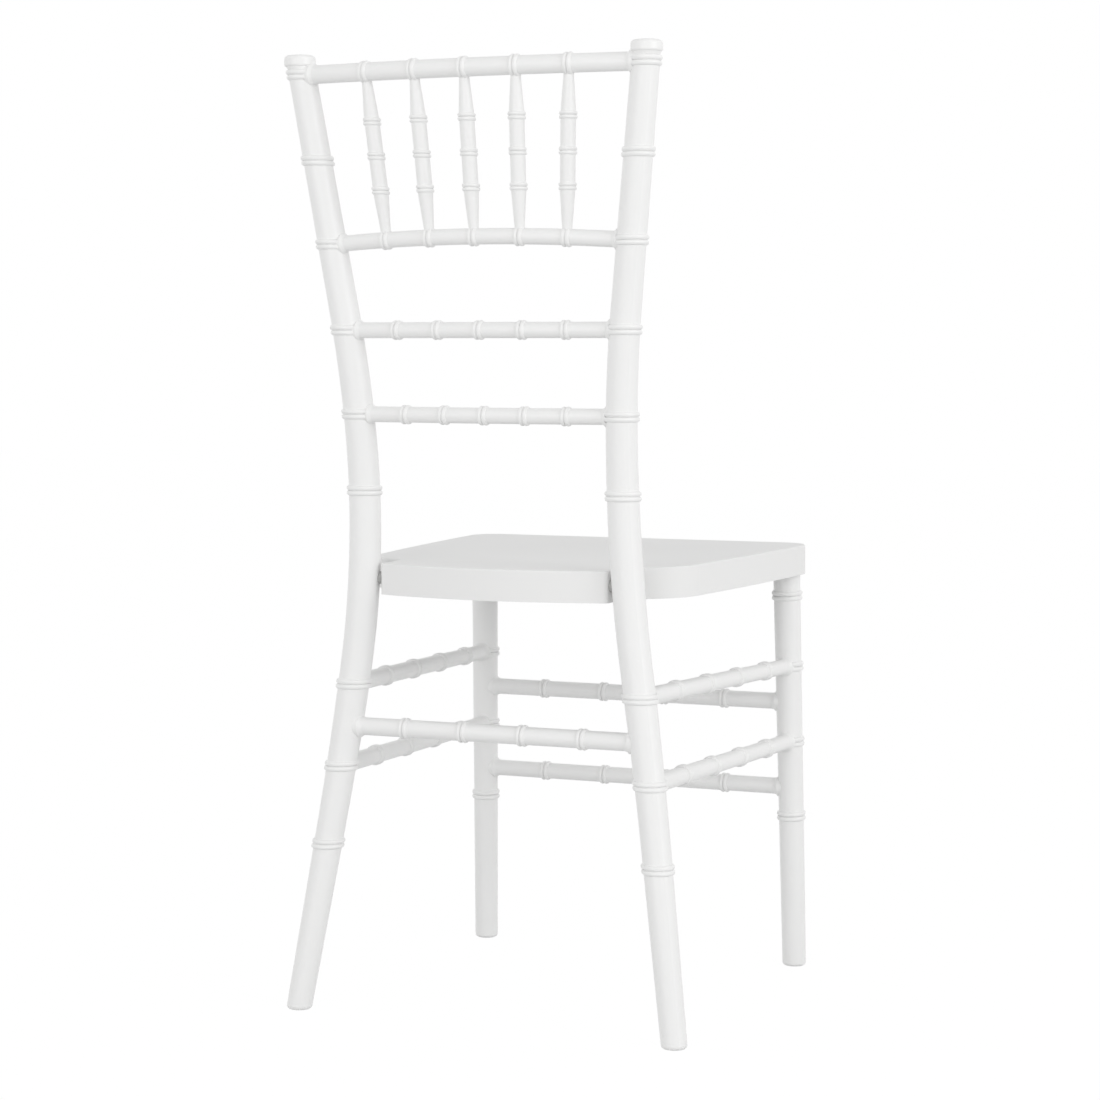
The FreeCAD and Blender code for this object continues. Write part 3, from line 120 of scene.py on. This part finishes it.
def moulded_resin(name, tint, drift, gloss_floor, shine):
    """Resin material: the skin group feeds colour, roughness and a fine bump."""
    finish = bpy.data.materials.new(name)
    finish.use_nodes = True
    nodes = finish.node_tree.nodes
    link = finish.node_tree.links.new
    surface = nodes["Principled BSDF"]
    skin = nodes.new("ShaderNodeGroup")
    skin.node_tree = SKIN
    skin.inputs["Tint"].default_value = (*tint, 1.0)
    skin.inputs["Drift"].default_value = drift
    skin.inputs["Gloss Floor"].default_value = gloss_floor
    skin.inputs["Rub"].default_value = RESIN_RUB
    bump = nodes.new("ShaderNodeBump")
    bump.inputs["Strength"].default_value = RIPPLE_STRENGTH
    bump.inputs["Distance"].default_value = RIPPLE_DEPTH
    link(skin.outputs["Color"], surface.inputs["Base Color"])
    link(skin.outputs["Roughness"], surface.inputs["Roughness"])
    link(skin.outputs["Height"], bump.inputs["Height"])
    link(bump.outputs["Normal"], surface.inputs["Normal"])
    surface.inputs["IOR"].default_value = RESIN_IOR
    surface.inputs["Specular IOR Level"].default_value = shine
    return finish


def wear(node, finish):
    """Gives a CAD node one finish in all its material slots."""
    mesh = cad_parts[node].data
    mesh.materials.clear()
    mesh.materials.append(finish)


frame_resin = moulded_resin("white_frame_resin", tint=(0.86, 0.86, 0.855), drift=0.015, gloss_floor=0.34,
                            shine=0.45)
FRAME_PIECES = ["back_post_left", "back_post_right", "crest_rail", "spindle_rail", "upper_ladder_rail",
                "lower_ladder_rail", "front_leg_left", "front_leg_right", "front_stretcher_upper",
                "front_stretcher_lower", "rear_stretcher", "side_stretcher_left_upper",
                "side_stretcher_left_lower", "side_stretcher_right_upper", "side_stretcher_right_lower"]
FRAME_PIECES += ["back_spindle_%d" % number for number in range(1, 6)]
for piece in FRAME_PIECES:
    wear(piece, frame_resin)

# The seat: one hollow moulding of the same resin, duller on its broad top than the round members are,
# with slow drifts of tone where the thin wall cooled.
seat_resin = moulded_resin("white_seat_resin", tint=(0.83, 0.83, 0.825), drift=0.02, gloss_floor=0.42,
                           shine=0.1)
wear("seat", seat_resin)


# Steel rods inside the posts and legs, drawn and left plain; bolts, screws and washers of the same
# steel with a bright zinc skin. On the rods the streaks run along the drawing direction.
STREAK_DETAIL = 4.0
STREAK_SMOOTHEST = 0.8
STREAK_ROUGHEST = 1.3
STREAK_DARKEST = 0.9


def drawn_metal(name, tint, roughness, streak_scale):
    """Metal with streaks: noise stretched along the height changes the roughness."""
    finish = bpy.data.materials.new(name)
    finish.use_nodes = True
    nodes = finish.node_tree.nodes
    link = finish.node_tree.links.new
    surface = nodes["Principled BSDF"]
    surface.inputs["Metallic"].default_value = 1.0
    place = nodes.new("ShaderNodeTexCoord")
    stretch = nodes.new("ShaderNodeMapping")
    stretch.inputs["Scale"].default_value = streak_scale
    streaks = nodes.new("ShaderNodeTexNoise")
    streaks.inputs["Scale"].default_value = 1.0
    streaks.inputs["Detail"].default_value = STREAK_DETAIL
    link(place.outputs["Object"], stretch.inputs["Vector"])
    link(stretch.outputs["Vector"], streaks.inputs["Vector"])
    spread = nodes.new("ShaderNodeMapRange")
    spread.inputs["To Min"].default_value = roughness * STREAK_SMOOTHEST
    spread.inputs["To Max"].default_value = roughness * STREAK_ROUGHEST
    link(streaks.outputs["Fac"], spread.inputs["Value"])
    link(spread.outputs["Result"], surface.inputs["Roughness"])
    mix = nodes.new("ShaderNodeMix")
    mix.data_type = "RGBA"
    mix.inputs["A"].default_value = (*[value * STREAK_DARKEST for value in tint], 1.0)
    mix.inputs["B"].default_value = (*tint, 1.0)
    link(streaks.outputs["Fac"], mix.inputs["Factor"])
    link(mix.outputs["Result"], surface.inputs["Base Color"])
    return finish


core_steel = drawn_metal("drawn_core_steel", tint=(0.50, 0.51, 0.53), roughness=0.42,
                         streak_scale=(900.0, 900.0, 30.0))
for piece in ("back_post_core_left", "back_post_core_right", "front_leg_core_left", "front_leg_core_right"):
    wear(piece, core_steel)
zinc_steel = drawn_metal("zinc_plated_steel", tint=(0.68, 0.69, 0.71), roughness=0.3,
                         streak_scale=(600.0, 600.0, 600.0))
for piece in ("seat_rear_bolts", "seat_rear_washers", "front_leg_screws", "front_leg_screw_washers"):
    wear(piece, zinc_steel)
insert_brass = drawn_metal("insert_brass", tint=(0.72, 0.53, 0.24), roughness=0.33,
                           streak_scale=(500.0, 500.0, 500.0))
wear("post_thread_inserts", insert_brass)


# Spacer rings in the gap beside the seat's tongue: nylon turned from rod, with a dry face and fine
# noise in its tone. The nylon itself is white; its mid grey is painted shade, the shade that fills the gap.
SPACER_GRAIN_SCALE = 350.0
SPACER_GRAIN_DETAIL = 5.0
# Both tones are painted shade: white nylon greyed to the gap's shade, with the noise mixing them at random.
SPACER_SHADE_DARK = (0.36, 0.36, 0.355, 1.0)
SPACER_SHADE_PALE = (0.42, 0.42, 0.41, 1.0)
SPACER_ROUGHNESS = 0.7


def spacer_painted_shade():
    """Matt plastic greyed with painted shade, its tone broken by fine noise."""
    finish = bpy.data.materials.new("spacer_painted_shade")
    finish.use_nodes = True
    nodes = finish.node_tree.nodes
    link = finish.node_tree.links.new
    surface = nodes["Principled BSDF"]
    place = nodes.new("ShaderNodeTexCoord")
    grain = nodes.new("ShaderNodeTexNoise")
    grain.inputs["Scale"].default_value = SPACER_GRAIN_SCALE
    grain.inputs["Detail"].default_value = SPACER_GRAIN_DETAIL
    link(place.outputs["Object"], grain.inputs["Vector"])
    tone = nodes.new("ShaderNodeMix")
    tone.data_type = "RGBA"
    tone.inputs["A"].default_value = SPACER_SHADE_DARK
    tone.inputs["B"].default_value = SPACER_SHADE_PALE
    link(grain.outputs["Fac"], tone.inputs["Factor"])
    link(tone.outputs["Result"], surface.inputs["Base Color"])
    surface.inputs["Roughness"].default_value = SPACER_ROUGHNESS
    return finish


wear("seat_spacers", spacer_painted_shade())

# The uprights' rings: the photograph has them level, though the uprights lean. Each upright is a copy of
# its solid whose ring pairs slide along the upright until they lie level. A row gives, in metres, a
# pair's height and centre, and how far the upright moves out and back for each metre of height.
UPRIGHT_RINGS = (
    (0.9014, 0.1753, 0.1996, 0.133, 0.119),
    (0.8213, 0.1647, 0.1901, 0.133, 0.119),
    (0.7424, 0.1542, 0.1808, 0.133, 0.119),
    (0.6611, 0.1436, 0.1711, 0.117, 0.119),
    (0.5810, 0.1368, 0.1616, 0.053, 0.119),
    (0.5075, 0.1351, 0.1541, -0.006, 0.081),
    (0.3192, 0.1505, 0.1491, -0.147, -0.028),
    (0.2388, 0.1623, 0.1532, -0.147, -0.075),
    (0.1626, 0.1735, 0.1605, -0.147, -0.108),
)

# Along the upright, a pair slides whole as far as the reach from its centre, and the slide then fades
# out. The neck and the middle of the cap are given by their heights over the top pair's centre.
RING_REACH = 0.0062
RING_FADE = 0.006
NECK_BASE = 0.005
NECK_LENGTH = 0.0026
CAP_MIDDLE = 0.0131
CAP_GROWTH = 0.035


def ease(share):
    """Smooth step from 0 to 1."""
    share = min(max(share, 0.0), 1.0)
    return share * share * (3.0 - 2.0 * share)


def levelled(spot, centre, along, reach, fade, top_open):
    """The spot, slid along a leaning member so that its ring pair, and all above it if open, lies level."""
    station = (spot - centre).dot(along)
    radial = spot - centre - along * station
    beyond = 0.0 if top_open and station > 0 else abs(station) - reach
    share = 1.0 - ease(beyond / fade)
    return spot - along * (radial.z / along.z * share)


def level_copy(node):
    """A copy of a CAD node that rides with it and stands for it."""
    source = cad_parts[node]
    copy = bpy.data.objects.new(node + "_level_rings", source.data.copy())
    copy.matrix_world = source.matrix_world.copy()
    bpy.context.scene.collection.objects.link(copy)
    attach(copy, "root")
    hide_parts(node)
    return copy


def reshape(copy, change):
    """Moves each vertex of a copy to where the change puts its place in the shared frame."""
    to_shared = copy.matrix_world.copy()
    to_own = to_shared.inverted()
    for corner in copy.data.vertices:
        corner.co = to_own @ change(to_shared @ corner.co)
    copy.data.update()


for node, side in (("back_post_left", 1), ("back_post_right", -1)):
    rows = [(Vector((side * across, back, height)), Vector((side * out, rake, 1.0)))
            for height, across, back, out, rake in UPRIGHT_RINGS]

    def upright_change(spot):
        """Level rings everywhere, and at the top an upright cap that is a little wider."""
        centre, lean = min(rows, key=lambda row: abs(row[0].z - spot.z))
        is_top = centre is rows[0][0]
        spot = levelled(spot, centre, lean.normalized(), RING_REACH, RING_FADE, is_top)
        rise = spot.z - centre.z
        if not is_top or rise <= NECK_BASE:
            return spot
        share = ease((rise - NECK_BASE) / NECK_LENGTH)
        axis = centre + lean * rise
        upright_axis = centre + lean * CAP_MIDDLE
        offset = Vector((spot.x - axis.x, spot.y - axis.y, 0.0)) * (1.0 + CAP_GROWTH * share)
        middle = axis.lerp(upright_axis, share)
        return Vector((middle.x + offset.x, middle.y + offset.y, spot.z))

    reshape(level_copy(node), upright_change)

# The spindles' rings, level in the same way. Each spindle's line runs between the middles of its ends,
# and its three ring pairs are spread about the middle of that line.
SPINDLE_END = 0.003
SPINDLE_PITCH = 0.0323
SPINDLE_REACH = 0.0045
SPINDLE_FADE = 0.005
for number in range(1, 6):
    spindle = level_copy("back_spindle_%d" % number)
    spots = [spindle.matrix_world @ corner.co for corner in spindle.data.vertices]
    low = min(spot.z for spot in spots)
    high = max(spot.z for spot in spots)
    ends = []
    for tip in ([spot for spot in spots if spot.z < low + SPINDLE_END],
                [spot for spot in spots if spot.z > high - SPINDLE_END]):
        ends.append(Vector([(min(column) + max(column)) / 2 for column in zip(*tip)]))
    along = (ends[1] - ends[0]).normalized()
    middle = (ends[0] + ends[1]) / 2
    centres = [middle + along * (SPINDLE_PITCH * step) for step in (-1, 0, 1)]

    def spindle_change(spot):
        """Level rings at the nearest of the three pairs."""
        centre = min(centres, key=lambda pair: abs(pair.z - spot.z))
        return levelled(spot, centre, along, SPINDLE_REACH, SPINDLE_FADE, False)

    reshape(spindle, spindle_change)

# The studio: a pale floor that shows no more than the chair's faint shadow, a white surround, and two
# large lamps, one to the right of the camera and a weaker one to its left. To the camera and to gloss
# the floor is mostly its own white glow, and to the light that it sends back it is paint.
FLOOR_HALF = 12.0
FLOOR_PAINT = (0.70, 0.70, 0.70, 1.0)
FLOOR_GLOW = 1.02
FLOOR_GLOW_SHARE = 0.96
floor_mesh = bpy.data.meshes.new("studio_floor")
floor_mesh.from_pydata([(-FLOOR_HALF, -FLOOR_HALF, 0), (FLOOR_HALF, -FLOOR_HALF, 0),
                        (FLOOR_HALF, FLOOR_HALF, 0), (-FLOOR_HALF, FLOOR_HALF, 0)], [], [(0, 1, 2, 3)])
floor = bpy.data.objects.new("studio_floor", floor_mesh)
bpy.context.scene.collection.objects.link(floor)
floor_paint = bpy.data.materials.new("studio_floor")
floor_paint.use_nodes = True
nodes = floor_paint.node_tree.nodes
link = floor_paint.node_tree.links.new
nodes.remove(nodes["Principled BSDF"])
path = nodes.new("ShaderNodeLightPath")
paint = nodes.new("ShaderNodeBsdfDiffuse")
paint.inputs["Color"].default_value = FLOOR_PAINT
glow = nodes.new("ShaderNodeEmission")
glow.inputs["Strength"].default_value = FLOOR_GLOW
seen = nodes.new("ShaderNodeMath")
seen.operation = "MAXIMUM"
link(path.outputs["Is Camera Ray"], seen.inputs[0])
link(path.outputs["Is Glossy Ray"], seen.inputs[1])
glow_share = nodes.new("ShaderNodeMath")
glow_share.operation = "MULTIPLY"
glow_share.inputs[1].default_value = FLOOR_GLOW_SHARE
link(seen.outputs[0], glow_share.inputs[0])
blend = nodes.new("ShaderNodeMixShader")
link(glow_share.outputs[0], blend.inputs["Fac"])
link(paint.outputs["BSDF"], blend.inputs[1])
link(glow.outputs["Emission"], blend.inputs[2])
link(blend.outputs["Shader"], nodes["Material Output"].inputs["Surface"])
floor_mesh.materials.append(floor_paint)

# The surround lights the chair more from the sides than from overhead, as the walls of a white tent do.
# To the camera, to gloss and through anything clear it is plain white, at the seen strength.
AMBIENT_SIDES = 1.15
AMBIENT_OVERHEAD = 0.5
AMBIENT_SEEN = 1.0
surround = bpy.data.worlds.new("studio_surround")
surround.use_nodes = True
nodes = surround.node_tree.nodes
link = surround.node_tree.links.new
light = nodes["Background"]
light.inputs["Color"].default_value = (1.0, 1.0, 1.0, 1.0)
path = nodes.new("ShaderNodeLightPath")
ray = nodes.new("ShaderNodeTexCoord")
parts = nodes.new("ShaderNodeSeparateXYZ")
link(ray.outputs["Generated"], parts.inputs["Vector"])
ambient = nodes.new("ShaderNodeMapRange")
ambient.inputs["To Min"].default_value = AMBIENT_SIDES
ambient.inputs["To Max"].default_value = AMBIENT_OVERHEAD
link(parts.outputs["Z"], ambient.inputs["Value"])
level = nodes.new("ShaderNodeMapRange")
level.inputs["To Max"].default_value = AMBIENT_SEEN
link(ambient.outputs["Result"], level.inputs["To Min"])
first = nodes.new("ShaderNodeMath")
first.operation = "MAXIMUM"
second = nodes.new("ShaderNodeMath")
second.operation = "MAXIMUM"
link(path.outputs["Is Camera Ray"], first.inputs[0])
link(path.outputs["Is Glossy Ray"], first.inputs[1])
link(first.outputs[0], second.inputs[0])
link(path.outputs["Is Transmission Ray"], second.inputs[1])
link(second.outputs[0], level.inputs["Value"])
link(level.outputs["Result"], light.inputs["Strength"])
bpy.context.scene.world = surround

# The lamps stand round the middle of the chair: metres to the camera's right, metres towards the
# camera, metres up, the side of the square in metres, and watts.
AIM = Vector((0.0, 0.0, 0.5))
ASIDE = Vector((LOOK.y, -LOOK.x, 0.0)).normalized()
LAMPS = (
    ("key_right", 2.2, 2.0, 0.7, 1.6, 21.0),
    ("fill_left", -1.4, 2.5, 0.3, 1.8, 12.0),
)
for name, right, near, up, size, power in LAMPS:
    lamp = bpy.data.lights.new(name, "AREA")
    lamp.shape = "SQUARE"
    lamp.size = size
    lamp.energy = power
    holder = bpy.data.objects.new(name, lamp)
    holder.location = AIM + ASIDE * right - LOOK * near + Vector((0, 0, up))
    holder.rotation_euler = (AIM - holder.location).to_track_quat("-Z", "Y").to_euler()
    bpy.context.scene.collection.objects.link(holder)

bpy.context.scene.view_settings.view_transform = "Standard"
